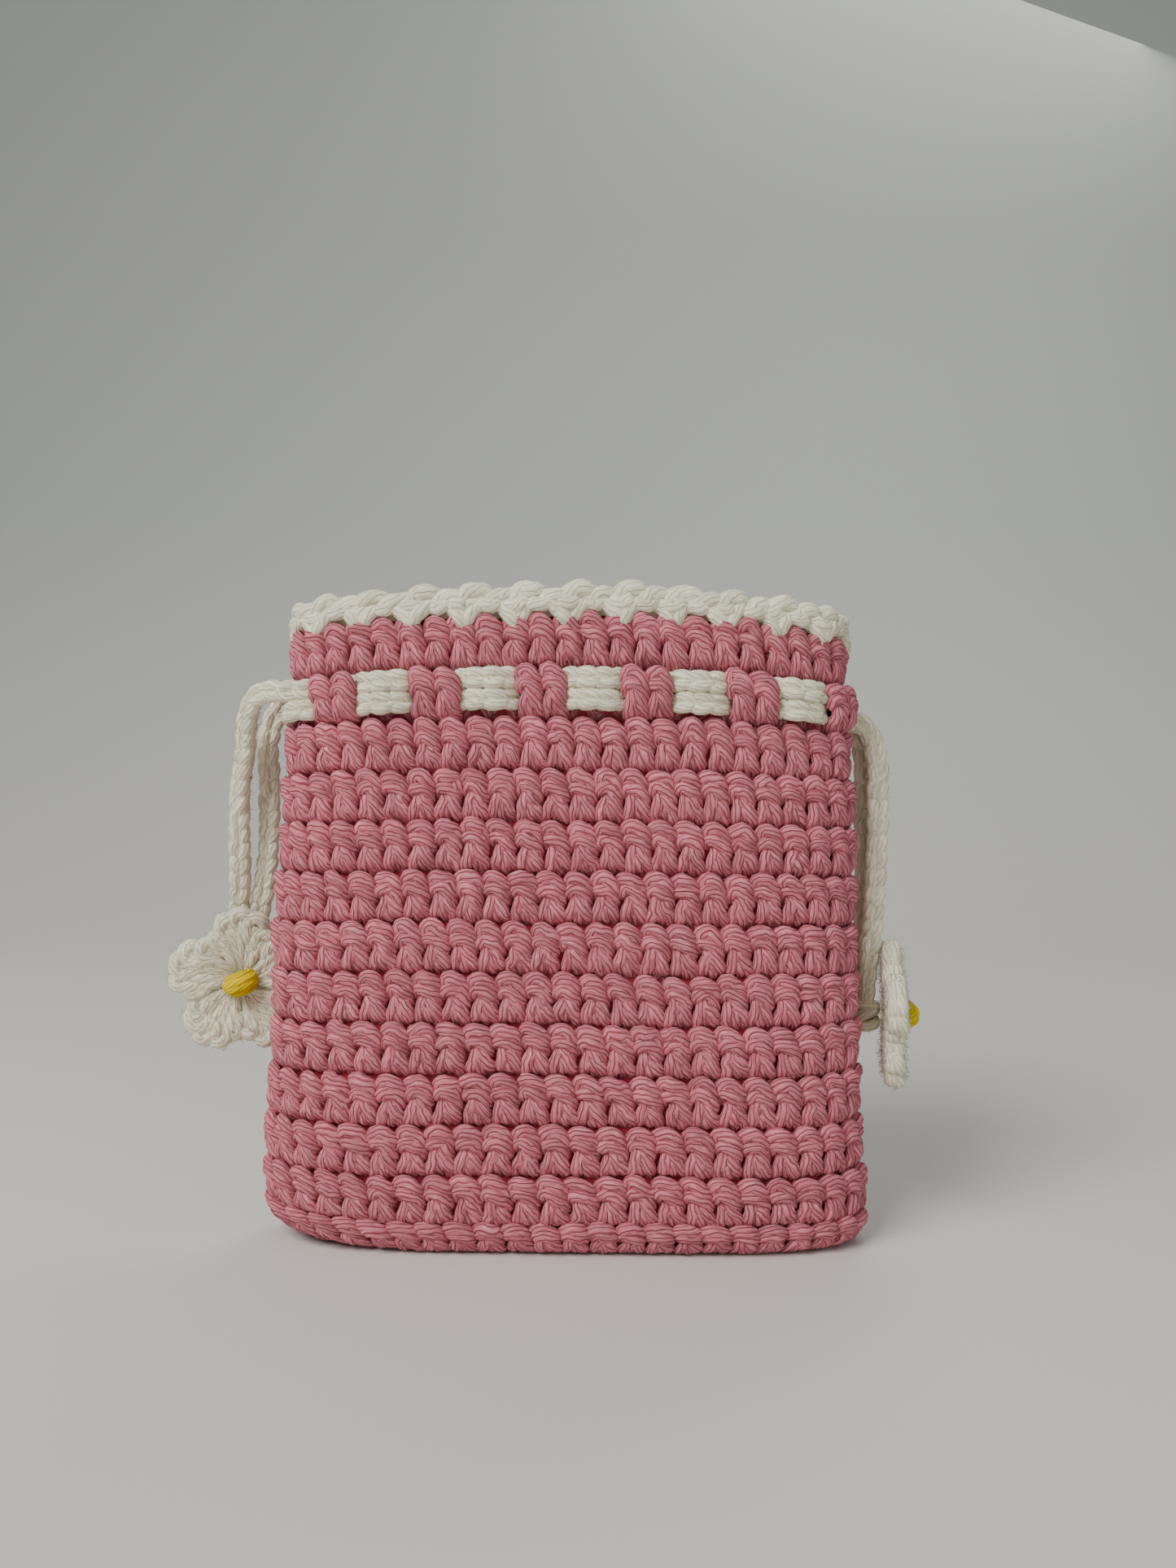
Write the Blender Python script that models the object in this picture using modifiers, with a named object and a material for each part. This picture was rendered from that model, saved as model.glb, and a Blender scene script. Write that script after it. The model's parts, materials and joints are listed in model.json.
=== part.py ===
"""Drawstring dice bag: a flat pouch crocheted in the round, with a white scalloped edge,
two drawstrings woven through one round, and a flower on the ends of each drawstring.

Metres, +Z up. The origin is under the middle of the base, the front faces -Y, and +X is to
the right of someone who looks at the front. "Out" means away from the bag along X, so one
route serves both sides.
"""

import math

import bmesh
import bpy
import numpy as np
from mathutils import Matrix, Vector

# Body, to the outside of the pink wall
LOW_HALF_WIDTH = 0.0537
TOP_HALF_WIDTH = 0.0492
TOP_HALF_DEPTH = 0.0102
BELLY = 0.0021
BELLY_HEIGHT = 0.016
BELLY_SPREAD = 0.034
END_BLUNTNESS = 5.0
WALL = 0.0036
CURL_HEIGHT = 0.0058
CURL_INSET = 0.0020
CROWN = 0.0032

# Rounds of stitches, from the floor up
FOOT_HEIGHT = 0.0058
ROUND_HEIGHT = 0.00838
PLAIN_ROUNDS = 10
BASE_THICKNESS = 0.0036
EDGING_HEIGHT = 0.0046
EDGING_THICKNESS = 0.0042
SCALLOP_RISE = 0.0007
STITCHES = 48
STITCHES_PER_SCALLOP = 2
STITCHES_PER_WINDOW = 4

# The round that holds the drawstrings, out and in from the outside of the wall
CORD_ROUND_OUTSIDE = 0.0016
CORD_ROUND_INSIDE = 0.0045
CORD_ROUND_BRIDGE = 0.00064

# Drawstrings
CORD = 0.0031
CORD_CLEARANCE = 0.0004
GAP = 0.0003

# Flowers
PETALS = 5
PETAL_RADIUS = 0.0132
PETAL_THICKNESS = 0.0032
PETAL_DEPTH = 0.24
KNOT_RADIUS = 0.0024
KNOT_HALF_HEIGHT = 0.0034
BOBBLE_HALF_WIDTH = 0.0031
BOBBLE_HALF_HEIGHT = 0.0024
BOBBLE_HALF_THICKNESS = 0.0015

# Fineness of the solids
AROUND = 96
OUTLINE_SAMPLES = 1440
STEPS_PER_WINDOW = 8
CORD_STEP = 0.0022
CORD_BEVEL_RESOLUTION = 2
SPHERE_SEGMENTS = 20
PETAL_STEPS = 60
SCALLOP_STEPS = 8

# Colours, as linear red, green and blue
PINK = (0.60, 0.19, 0.26)
WHITE = (0.86, 0.84, 0.76)
YELLOW = (0.90, 0.62, 0.02)
YARN_ROUGHNESS = 0.85

# Places round the bag are counted in windows, the gaps where the drawstrings show outside,
# from the front's middle towards +X. Each exit lists the places where a drawstring's end
# leaves the weave, from its woven stretch to the window.
WINDOW_PHASE = 0.25
LEFT_FRONT_EXIT = [9.5]
LEFT_BACK_EXIT = [20.0, 20.1, 20.2]
RIGHT_FRONT_EXIT = [15.0]
RIGHT_BACK_EXIT = [4.5, 4.4, 4.3]
LOOP_END_GAP = 0.05

# Where the four tails run, as (out, y, up) in millimetres from their drawstring's level at
# the end of the bag, with the top stretch ending where the bottom stretch begins.
LEFT_FRONT_TOP = [(-4.1, -5.4, 0.3), (-2.2, -5.0, 0.2), (0.1, -4.5, 0.1), (2.6, -3.7, 0.1),
                  (4.9, -2.4, -0.8), (6.6, -0.6, -3.4), (7.6, 1.2, -6.8), (8.1, 2.6, -10.0)]
LEFT_FRONT_BOTTOM = [(8.2, 2.8, -10.5), (9.6, 4.8, -17.0), (10.5, 7.6, -25.0), (11.0, 10.2, -33.0),
                     (11.7, 12.0, -40.0), (12.45, 12.4, -48.6)]
LEFT_BACK_TOP = [(-8.9, 8.9, 0.8), (-8.0, 10.1, 0.7), (-6.8, 11.0, 0.6), (-4.8, 11.2, 0.4),
                 (-2.5, 10.7, 0.2), (0.2, 9.9, 0.0), (2.6, 8.9, -0.9), (4.4, 7.9, -3.4),
                 (5.2, 7.2, -6.7), (5.4, 6.9, -10.0)]
LEFT_BACK_BOTTOM = [(5.4, 7.0, -10.8), (5.4, 8.6, -17.0), (5.7, 10.2, -25.0), (6.6, 11.6, -33.0),
                    (7.9, 12.3, -40.0), (8.95, 12.4, -48.6)]
RIGHT_FRONT_TOP = [(-1.1, 0.7, 0.1), (-0.6, 2.4, 0.0), (0.2, 4.1, 0.0), (2.0, 5.2, -0.1),
                   (4.2, 5.6, -1.3), (5.6, 5.6, -3.8), (6.2, 5.4, -7.0), (6.4, 5.2, -10.5)]
RIGHT_FRONT_BOTTOM = [(6.4, 5.2, -11.0), (6.4, 5.2, -18.0), (6.2, 5.2, -27.0), (5.7, 5.1, -36.0),
                      (5.1, 5.2, -44.0), (4.9, 5.2, -49.7)]
RIGHT_BACK_TOP = [(-17.7, 10.8, 1.5), (-16.9, 12.3, 1.4), (-15.4, 13.3, 1.3), (-12.6, 13.2, 1.1),
                  (-9.4, 12.5, 0.8), (-5.8, 11.4, 0.4), (-2.6, 10.5, 0.2), (0.2, 9.7, 0.0),
                  (2.6, 9.3, -1.1), (4.2, 9.1, -3.8), (4.7, 9.0, -7.1), (4.7, 8.9, -10.5)]
RIGHT_BACK_BOTTOM = [(4.7, 8.9, -11.0), (4.9, 9.0, -18.0), (5.1, 9.0, -27.0), (5.1, 9.0, -36.0),
                     (5.0, 8.9, -44.0), (4.9, 8.8, -49.7)]

# Each knot's place, as (out, y, up) in millimetres from the same point, and the way its
# flower faces, in degrees from -Y round towards +X
LEFT_KNOT = (10.7, 12.4, -52.4)
LEFT_FACING = 10.0
RIGHT_KNOT = (4.9, 7.0, -53.5)
RIGHT_FACING = 78.0

# Swing axes, on the middle of each pair of bends
LEFT_SWING = (4.8, 0.0, -1.0)
RIGHT_SWING = (4.0, 0.0, -1.4)

WINDOWS = STITCHES // STITCHES_PER_WINDOW
CORD_ROUND_LOW = FOOT_HEIGHT + PLAIN_ROUNDS * ROUND_HEIGHT
CHANNEL_HEIGHT = 2 * CORD + 3 * GAP
CORD_ROUND_HEIGHT = CHANNEL_HEIGHT + 2 * CORD_ROUND_BRIDGE
TOP_ROUND_LOW = CORD_ROUND_LOW + CORD_ROUND_HEIGHT
BODY_HEIGHT = TOP_ROUND_LOW + ROUND_HEIGHT
CORD_LEVEL = CORD_ROUND_LOW + CORD_ROUND_HEIGHT / 2
LEVEL_STEP = (CORD + GAP) / 2
CHANNEL_WIDTH = CORD + 2 * CORD_CLEARANCE
WEAVE = CHANNEL_WIDTH / 2 + GAP / 4
PETAL_OFFSET = KNOT_RADIUS + GAP + PETAL_THICKNESS / 2
BOBBLE_OFFSET = PETAL_OFFSET + PETAL_THICKNESS / 2 + GAP + BOBBLE_HALF_THICKNESS


def clear_scene():
    for obj in list(bpy.data.objects):
        bpy.data.objects.remove(obj, do_unlink=True)


def new_collection(name):
    collection = bpy.data.collections.new(name)
    bpy.context.scene.collection.children.link(collection)
    return collection


def yarn_material(name, colour):
    material = bpy.data.materials.new(name)
    material.use_nodes = True
    shader = material.node_tree.nodes["Principled BSDF"]
    shader.inputs["Base Color"].default_value = (*colour, 1.0)
    shader.inputs["Roughness"].default_value = YARN_ROUGHNESS
    shader.inputs["Metallic"].default_value = 0.0
    material.diffuse_color = (*colour, 1.0)
    return material


def add_object(name, data, collection, colour):
    obj = bpy.data.objects.new(name, data)
    obj.data.materials.append(yarn_material(name, colour))
    collection.objects.link(obj)
    return obj


def tuck(height):
    """How far the lowest stitches turn in under the bag."""
    rest = max(0.0, 1.0 - height / CURL_HEIGHT)
    return CURL_INSET * rest * rest


def half_width(height):
    taper = (LOW_HALF_WIDTH - TOP_HALF_WIDTH) * (1.0 - height / BODY_HEIGHT)
    return TOP_HALF_WIDTH + taper - tuck(height)


def half_depth(height):
    bulge = BELLY * math.exp(-(((height - BELLY_HEIGHT) / BELLY_SPREAD) ** 2))
    return TOP_HALF_DEPTH + bulge - tuck(height)


def rise(x, height):
    """The front and back stand a little taller in the middle than at the ends."""
    middle = max(0.0, 1.0 - (x / half_width(height)) ** 2)
    return CROWN * (height / BODY_HEIGHT) ** 2 * middle


def outline(height, offset, shares):
    """Points round the bag at one height, offset outwards from the wall's outside. Shares
    of the way round start at the front's middle and go towards +X."""
    angles = np.linspace(0.0, 2.0 * math.pi, OUTLINE_SAMPLES + 1)
    x = half_width(height) * np.sign(np.sin(angles)) * np.abs(np.sin(angles)) ** (2 / END_BLUNTNESS)
    y = -half_depth(height) * np.cos(angles)
    steps = np.hypot(np.diff(x), np.diff(y))
    travelled = np.concatenate([[0.0], np.cumsum(steps)]) / steps.sum()
    shares = np.asarray(shares, float)
    nearby = 0.002
    here = np.stack([np.interp(shares % 1.0, travelled, c) for c in (x, y)], axis=-1)
    ahead = np.stack([np.interp((shares + nearby) % 1.0, travelled, c) for c in (x, y)], axis=-1)
    behind = np.stack([np.interp((shares - nearby) % 1.0, travelled, c) for c in (x, y)], axis=-1)
    along = ahead - behind
    along /= np.linalg.norm(along, axis=-1, keepdims=True)
    outwards = np.stack([along[..., 1], -along[..., 0]], axis=-1)
    return here + outwards * np.asarray(offset, float)[..., None]


def sheet(name, heights, offset, columns, collection, colour, thickness, side):
    """A closed band round the bag. Heights holds functions of the share round, from the
    band's lowest edge to its highest, and offset is a function of the share too."""
    mesh = bpy.data.meshes.new(name)
    work = bmesh.new()
    bmesh.ops.create_grid(work, x_segments=columns, y_segments=len(heights) - 1, size=0.5)
    for vertex in work.verts:
        share = round((vertex.co.x + 0.5) * columns) / columns
        row = round((vertex.co.y + 0.5) * (len(heights) - 1))
        height = heights[row](share)
        x, y = outline(height, offset(share), share)
        vertex.co = (x, y, height + rise(x, height))
    bmesh.ops.remove_doubles(work, verts=work.verts, dist=0.00001)
    work.to_mesh(mesh)
    work.free()
    obj = add_object(name, mesh, collection, colour)
    shell = obj.modifiers.new("Thickness", "SOLIDIFY")
    shell.thickness = thickness
    shell.offset = side
    shell.use_even_offset = True
    return obj


def flat_rows(low, high, count):
    """Level edges at even heights, as functions of the share round."""
    return [lambda share, z=z: z for z in np.linspace(low, high, count)]


def weave(share):
    """1 where the drawstrings pass outside the stitches, -1 where they pass inside."""
    turn = 2.0 * math.pi * (share * WINDOWS - WINDOW_PHASE)
    sharpness = 1.4
    return math.tanh(sharpness * math.cos(turn)) / math.tanh(sharpness)


def weave_offset(share):
    return WEAVE * weave(share) - WALL / 2


def weave_point(window, level):
    """A point on a drawstring's centre line inside the weave."""
    share = window / WINDOWS
    x, y = outline(CORD_LEVEL, weave_offset(share), share)
    return Vector((x, y, level + rise(x, level)))


def smooth_points(points, step):
    """Points a step apart along a smooth curve through the given ones."""
    given = [2 * points[0] - points[1], *points, 2 * points[-1] - points[-2]]
    fine = []
    parts = 16
    for a, b, c, d in zip(given, given[1:], given[2:], given[3:]):
        for k in range(parts):
            t = k / parts
            bend = (2 * a - 5 * b + 4 * c - d) * t * t + (3 * b - a - 3 * c + d) * t ** 3
            fine.append(b + ((c - a) * t + bend) / 2)
    fine.append(points[-1])
    line = np.array(fine)
    lengths = np.concatenate([[0.0], np.cumsum(np.linalg.norm(np.diff(line, axis=0), axis=1))])
    count = max(2, round(lengths[-1] / step) + 1)
    places = np.linspace(0.0, lengths[-1], count)
    return np.stack([np.interp(places, lengths, line[:, axis]) for axis in range(3)], axis=-1)


def tube(name, points, collection):
    curve = bpy.data.curves.new(name, "CURVE")
    curve.dimensions = "3D"
    curve.bevel_depth = CORD / 2
    curve.bevel_resolution = CORD_BEVEL_RESOLUTION
    curve.use_fill_caps = True
    spline = curve.splines.new("POLY")
    spline.points.add(len(points) - 1)
    for target, point in zip(spline.points, points):
        target.co = (*point, 1.0)
    return add_object(name, curve, collection, WHITE)


def side_point(side, level, route_point):
    """A place given as (out, y, up) in millimetres from a drawstring's level at the end."""
    out, y, up = (0.001 * value for value in route_point)
    reach = half_width(CORD_LEVEL) - WALL / 2 + WEAVE
    return Vector((side * (reach + out), y, level + up))


def empty(name, place, collection, parent=None):
    pivot = bpy.data.objects.new(name, None)
    pivot.empty_display_size = 0.005
    pivot.matrix_world = Matrix.Translation(place)
    collection.objects.link(pivot)
    hang(pivot, parent)
    return pivot


def hang(obj, parent):
    """Parent without moving: every position here is in the bag's own frame."""
    if parent is None:
        return
    bpy.context.view_layer.update()
    obj.parent = parent
    obj.matrix_parent_inverse = parent.matrix_world.inverted()


def make_base(collection):
    """The crocheted bottom panel, inside the lowest round."""
    curve = bpy.data.curves.new("base", "CURVE")
    curve.dimensions = "2D"
    curve.fill_mode = "BOTH"
    curve.extrude = BASE_THICKNESS / 2
    edge = outline(0.0, -(WALL + GAP), np.arange(AROUND) / AROUND)
    spline = curve.splines.new("POLY")
    spline.points.add(AROUND - 1)
    for target, (x, y) in zip(spline.points, edge):
        target.co = (x, y, 0.0, 1.0)
    spline.use_cyclic_u = True
    base = add_object("base", curve, collection, PINK)
    base.location.z = BASE_THICKNESS / 2
    return base


def make_body_wall(collection):
    low = [0.0, CURL_HEIGHT * 0.4, CURL_HEIGHT]
    high = list(np.linspace(CURL_HEIGHT, CORD_ROUND_LOW - GAP, 6))[1:]
    rows = [lambda share, z=z: z for z in low + high]
    return sheet("body_wall", rows, lambda share: 0.0, AROUND, collection, PINK, WALL, -1.0)


def make_cord_round(collection, cutters):
    """The round that the drawstrings pass through: its stitches stand alternately inside
    and outside the cords, so the channel opens to the outside at each window."""
    rows = flat_rows(CORD_ROUND_LOW + GAP / 2, TOP_ROUND_LOW - GAP / 2, 2)
    ring = sheet("cord_round", rows, lambda share: CORD_ROUND_OUTSIDE, AROUND, collection, PINK,
                 CORD_ROUND_OUTSIDE + CORD_ROUND_INSIDE, -1.0)
    rows = flat_rows(CORD_LEVEL - CHANNEL_HEIGHT / 2, CORD_LEVEL + CHANNEL_HEIGHT / 2, 2)
    channel = sheet("cord_channel", rows, weave_offset, WINDOWS * STEPS_PER_WINDOW, cutters, PINK,
                    CHANNEL_WIDTH, 0.0)
    channel.hide_render = True
    channel.display_type = "WIRE"
    cut = ring.modifiers.new("Channel", "BOOLEAN")
    cut.operation = "DIFFERENCE"
    cut.solver = "EXACT"
    cut.object = channel
    return ring


def make_top_round(collection):
    rows = flat_rows(TOP_ROUND_LOW + GAP, BODY_HEIGHT - GAP / 2, 2)
    return sheet("top_round", rows, lambda share: 0.0, AROUND, collection, PINK, WALL, -1.0)


def make_edging(collection):
    scallops = STITCHES // STITCHES_PER_SCALLOP
    low = BODY_HEIGHT + GAP / 2

    def upper_edge(share):
        return low + EDGING_HEIGHT + SCALLOP_RISE * math.cos(2.0 * math.pi * scallops * share)

    rows = [lambda share: low, upper_edge]
    overhang = (EDGING_THICKNESS - WALL) / 2
    return sheet("edging", rows, lambda share: overhang, scallops * SCALLOP_STEPS, collection,
                 WHITE, EDGING_THICKNESS, -1.0)


def make_loop(name, first, last, level, collection):
    """The woven stretch of a drawstring, between two places counted in windows."""
    low = math.ceil(first * STEPS_PER_WINDOW + 0.3)
    high = math.floor(last * STEPS_PER_WINDOW - 0.3)
    places = [first, *(step / STEPS_PER_WINDOW for step in range(low, high + 1)), last]
    return tube(name, [weave_point(place, level) for place in places], collection)


def make_tail(name, side, level, leaving, top, bottom, swing, collection):
    """One free end of a drawstring: the bend out of the weave, and the hanging stretch."""
    bend = [weave_point(place, level) for place in leaving]
    bend += [side_point(side, level, point) for point in top]
    tube(name + "_bend", smooth_points(bend, CORD_STEP), collection)
    drop = [side_point(side, level, point) for point in bottom]
    hanging = tube(name + "_drop", smooth_points(drop, 2 * CORD), collection)
    hang(hanging, swing)


def ball(name, place, half_sizes, facing, collection, colour):
    mesh = bpy.data.meshes.new(name)
    work = bmesh.new()
    bmesh.ops.create_uvsphere(work, u_segments=SPHERE_SEGMENTS, v_segments=SPHERE_SEGMENTS // 2,
                              radius=1.0)
    bmesh.ops.scale(work, verts=work.verts, vec=half_sizes)
    work.to_mesh(mesh)
    work.free()
    mesh.shade_smooth()
    obj = add_object(name, mesh, collection, colour)
    obj.matrix_world = Matrix.Translation(place) @ Matrix.Rotation(facing, 4, "Z")
    return obj


def make_petals(name, place, facing, collection):
    """The flat five-petalled ring of the flower, upright and facing the given way."""
    curve = bpy.data.curves.new(name, "CURVE")
    curve.dimensions = "2D"
    curve.fill_mode = "BOTH"
    curve.extrude = PETAL_THICKNESS / 2
    spline = curve.splines.new("POLY")
    spline.points.add(PETAL_STEPS - 1)
    for k, target in enumerate(spline.points):
        angle = 2.0 * math.pi * k / PETAL_STEPS
        lobe = abs(math.cos(PETALS * (angle - math.pi / 2) / 2)) ** 0.7
        radius = PETAL_RADIUS * (1.0 - PETAL_DEPTH * (1.0 - lobe))
        target.co = (radius * math.cos(angle), radius * math.sin(angle), 0.0, 1.0)
    spline.use_cyclic_u = True
    obj = add_object(name, curve, collection, WHITE)
    upright = Matrix.Rotation(math.pi / 2, 4, "X")
    obj.matrix_world = Matrix.Translation(place) @ Matrix.Rotation(facing, 4, "Z") @ upright
    return obj


def make_flower(prefix, side, level, knot, facing_degrees, swing, collection):
    """The knot that holds a pair of tails, and the flower sewn to its front."""
    facing = math.radians(facing_degrees)
    forward = Vector((math.sin(facing), -math.cos(facing), 0.0))
    centre = side_point(side, level, knot)
    pull = empty(prefix + "_pull_axis", centre, collection, swing)
    twist = empty(prefix + "_twist_axis", centre, collection, pull)
    knot_sizes = (KNOT_RADIUS, KNOT_RADIUS, KNOT_HALF_HEIGHT)
    hang(ball(prefix + "_knot", centre, knot_sizes, facing, collection, WHITE), pull)
    place = centre + PETAL_OFFSET * forward
    hang(make_petals(prefix + "_flower_petals", place, facing, collection), twist)
    bobble_sizes = (BOBBLE_HALF_WIDTH, BOBBLE_HALF_THICKNESS, BOBBLE_HALF_HEIGHT)
    place = centre + BOBBLE_OFFSET * forward
    hang(ball(prefix + "_flower_centre", place, bobble_sizes, facing, collection, YELLOW), twist)


def make_left_drawstring(collection):
    """The upper cord, which leaves by the left end."""
    level = CORD_LEVEL + LEVEL_STEP
    first = LEFT_FRONT_EXIT[0] + LOOP_END_GAP
    last = LEFT_BACK_EXIT[0] - LOOP_END_GAP
    make_loop("left_cord_loop", first, last, level, collection)
    swing = empty("left_swing_axis", side_point(-1, level, LEFT_SWING), collection)
    make_tail("left_front_tail", -1, level, LEFT_FRONT_EXIT, LEFT_FRONT_TOP, LEFT_FRONT_BOTTOM,
              swing, collection)
    make_tail("left_back_tail", -1, level, LEFT_BACK_EXIT, LEFT_BACK_TOP, LEFT_BACK_BOTTOM,
              swing, collection)
    make_flower("left", -1, level, LEFT_KNOT, LEFT_FACING, swing, collection)


def make_right_drawstring(collection):
    """The lower cord, which leaves by the right end."""
    level = CORD_LEVEL - LEVEL_STEP
    first = RIGHT_BACK_EXIT[0] + LOOP_END_GAP
    last = RIGHT_FRONT_EXIT[0] - LOOP_END_GAP
    make_loop("right_cord_loop", first, last, level, collection)
    swing = empty("right_swing_axis", side_point(1, level, RIGHT_SWING), collection)
    make_tail("right_front_tail", 1, level, RIGHT_FRONT_EXIT, RIGHT_FRONT_TOP, RIGHT_FRONT_BOTTOM,
              swing, collection)
    make_tail("right_back_tail", 1, level, RIGHT_BACK_EXIT, RIGHT_BACK_TOP, RIGHT_BACK_BOTTOM,
              swing, collection)
    make_flower("right", 1, level, RIGHT_KNOT, RIGHT_FACING, swing, collection)


def main():
    clear_scene()
    bag = new_collection("drawstring_dice_bag")
    cutters = new_collection("cutters")
    make_base(bag)
    make_body_wall(bag)
    make_cord_round(bag, cutters)
    make_top_round(bag)
    make_edging(bag)
    make_left_drawstring(bag)
    make_right_drawstring(bag)


main()
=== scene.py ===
"""Looks for the drawstring dice bag: every crocheted piece is made of swept yarn.

Sizes are in millimetres until a mesh is made. Strands are laid out in a flat space first,
(along, up, out), and a mapping then puts them on the bag's wall, on a cord or on a flower.
"""

import json
import math

import bpy
import numpy as np
from mathutils import Matrix, Vector


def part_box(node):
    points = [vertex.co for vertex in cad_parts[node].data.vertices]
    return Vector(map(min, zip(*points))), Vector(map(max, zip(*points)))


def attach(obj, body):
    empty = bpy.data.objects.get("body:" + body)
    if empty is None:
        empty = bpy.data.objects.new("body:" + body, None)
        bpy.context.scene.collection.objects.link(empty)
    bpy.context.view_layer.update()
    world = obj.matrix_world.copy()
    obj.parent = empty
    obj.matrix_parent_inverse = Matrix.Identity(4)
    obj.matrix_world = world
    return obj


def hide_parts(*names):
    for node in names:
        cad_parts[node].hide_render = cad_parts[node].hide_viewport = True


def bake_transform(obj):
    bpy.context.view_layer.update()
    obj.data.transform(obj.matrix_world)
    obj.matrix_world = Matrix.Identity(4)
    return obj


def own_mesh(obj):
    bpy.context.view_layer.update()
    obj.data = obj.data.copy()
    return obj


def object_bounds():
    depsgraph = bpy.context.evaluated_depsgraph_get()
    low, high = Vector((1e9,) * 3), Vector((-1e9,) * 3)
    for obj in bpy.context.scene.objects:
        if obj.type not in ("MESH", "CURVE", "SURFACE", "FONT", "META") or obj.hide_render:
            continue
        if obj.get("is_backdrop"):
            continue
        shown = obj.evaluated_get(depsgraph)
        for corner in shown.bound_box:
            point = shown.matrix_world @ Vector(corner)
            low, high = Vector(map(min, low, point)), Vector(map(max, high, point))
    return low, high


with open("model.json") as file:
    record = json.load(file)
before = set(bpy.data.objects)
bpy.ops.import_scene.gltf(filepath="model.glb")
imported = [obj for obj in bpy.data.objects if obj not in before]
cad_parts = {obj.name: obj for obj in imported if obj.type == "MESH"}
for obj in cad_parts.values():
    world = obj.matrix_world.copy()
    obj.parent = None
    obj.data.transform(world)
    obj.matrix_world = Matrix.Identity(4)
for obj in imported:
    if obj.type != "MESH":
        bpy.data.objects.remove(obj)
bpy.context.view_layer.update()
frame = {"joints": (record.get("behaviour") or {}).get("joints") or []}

# The part's own sizes, in millimetres
LOW_HALF_WIDTH = 53.7
TOP_HALF_WIDTH = 49.2
TOP_HALF_DEPTH = 10.2
BELLY = 2.1
BELLY_HEIGHT = 16.0
BELLY_SPREAD = 34.0
END_BLUNTNESS = 5.0
WALL = 3.6
CURL_HEIGHT = 5.8
CURL_INSET = 2.0
CROWN = 3.2
FOOT_HEIGHT = 5.8
ROUND_HEIGHT = 8.38
PLAIN_ROUNDS = 10
STITCHES = 48
WINDOWS = 12
WINDOW_PHASE = 0.25
CORD = 3.1
CORD_GAP = 0.3
WEAVE = 2.025
CORD_ROUND_LOW = FOOT_HEIGHT + PLAIN_ROUNDS * ROUND_HEIGHT
TOP_ROUND_LOW = CORD_ROUND_LOW + ROUND_HEIGHT
BODY_HEIGHT = TOP_ROUND_LOW + ROUND_HEIGHT
CORD_LEVEL = CORD_ROUND_LOW + ROUND_HEIGHT / 2
LEVEL_STEP = (CORD + CORD_GAP) / 2

# The cords' routes, as in the part: places in the weave counted in windows, then
# (out, y, up) from the cord's level at the end of the bag
LEFT_FRONT_EXIT = [9.5]
LEFT_BACK_EXIT = [20.0, 20.1, 20.2]
RIGHT_FRONT_EXIT = [15.0]
RIGHT_BACK_EXIT = [4.5, 4.4, 4.3]
LEFT_FRONT_TOP = [(-4.1, -5.4, 0.3), (-2.2, -5.0, 0.2), (0.1, -4.5, 0.1), (2.6, -3.7, 0.1),
                  (4.9, -2.4, -0.8), (6.6, -0.6, -3.4), (7.6, 1.2, -6.8), (8.1, 2.6, -10.0)]
LEFT_FRONT_BOTTOM = [(8.2, 2.8, -10.5), (9.6, 4.8, -17.0), (10.5, 7.6, -25.0), (11.0, 10.2, -33.0),
                     (11.7, 12.0, -40.0), (12.45, 12.4, -48.6)]
LEFT_BACK_TOP = [(-8.9, 8.9, 0.8), (-8.0, 10.1, 0.7), (-6.8, 11.0, 0.6), (-4.8, 11.2, 0.4),
                 (-2.5, 10.7, 0.2), (0.2, 9.9, 0.0), (2.6, 8.9, -0.9), (4.4, 7.9, -3.4),
                 (5.2, 7.2, -6.7), (5.4, 6.9, -10.0)]
LEFT_BACK_BOTTOM = [(5.4, 7.0, -10.8), (5.4, 8.6, -17.0), (5.7, 10.2, -25.0), (6.6, 11.6, -33.0),
                    (7.9, 12.3, -40.0), (8.95, 12.4, -48.6)]
RIGHT_FRONT_TOP = [(-1.1, 0.7, 0.1), (-0.6, 2.4, 0.0), (0.2, 4.1, 0.0), (2.0, 5.2, -0.1),
                   (4.2, 5.6, -1.3), (5.6, 5.6, -3.8), (6.2, 5.4, -7.0), (6.4, 5.2, -10.5)]
RIGHT_FRONT_BOTTOM = [(6.4, 5.2, -11.0), (6.4, 5.2, -18.0), (6.2, 5.2, -27.0), (5.7, 5.1, -36.0),
                      (5.1, 5.2, -44.0), (4.9, 5.2, -49.7)]
RIGHT_BACK_TOP = [(-17.7, 10.8, 1.5), (-16.9, 12.3, 1.4), (-15.4, 13.3, 1.3), (-12.6, 13.2, 1.1),
                  (-9.4, 12.5, 0.8), (-5.8, 11.4, 0.4), (-2.6, 10.5, 0.2), (0.2, 9.7, 0.0),
                  (2.6, 9.3, -1.1), (4.2, 9.1, -3.8), (4.7, 9.0, -7.1), (4.7, 8.9, -10.5)]
RIGHT_BACK_BOTTOM = [(4.7, 8.9, -11.0), (4.9, 9.0, -18.0), (5.1, 9.0, -27.0), (5.1, 9.0, -36.0),
                     (5.0, 8.9, -44.0), (4.9, 8.8, -49.7)]
LEFT_FACING = 10.0
RIGHT_FACING = 78.0

# How the yarn is made
AROUND = 10
SEED = 20
STITCH_PITCH = 4.45
CORE_DEPTH = -1.95
FLOOR_LEVEL = 0.1

# How far in front of its knot's middle a flower's petals and centre stand
PETALS_FORWARD = 4.6
CENTRE_FORWARD = 7.3

# A hanging tail is drawn thinner towards its knot, by this share
DRAWN_IN = 0.28

# What is left of each round's depth when the drawstrings are pulled out
KEEP_BY_ROUND = {7: 0.97, 8: 0.93, 9: 0.89, 10: 0.85}
CORD_ROUND_KEEP = 0.82
TOP_ROUND_KEEP = 0.74
EDGING_KEEP = 0.70


# ---------------------------------------------------------------- the bag's surface

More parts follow.
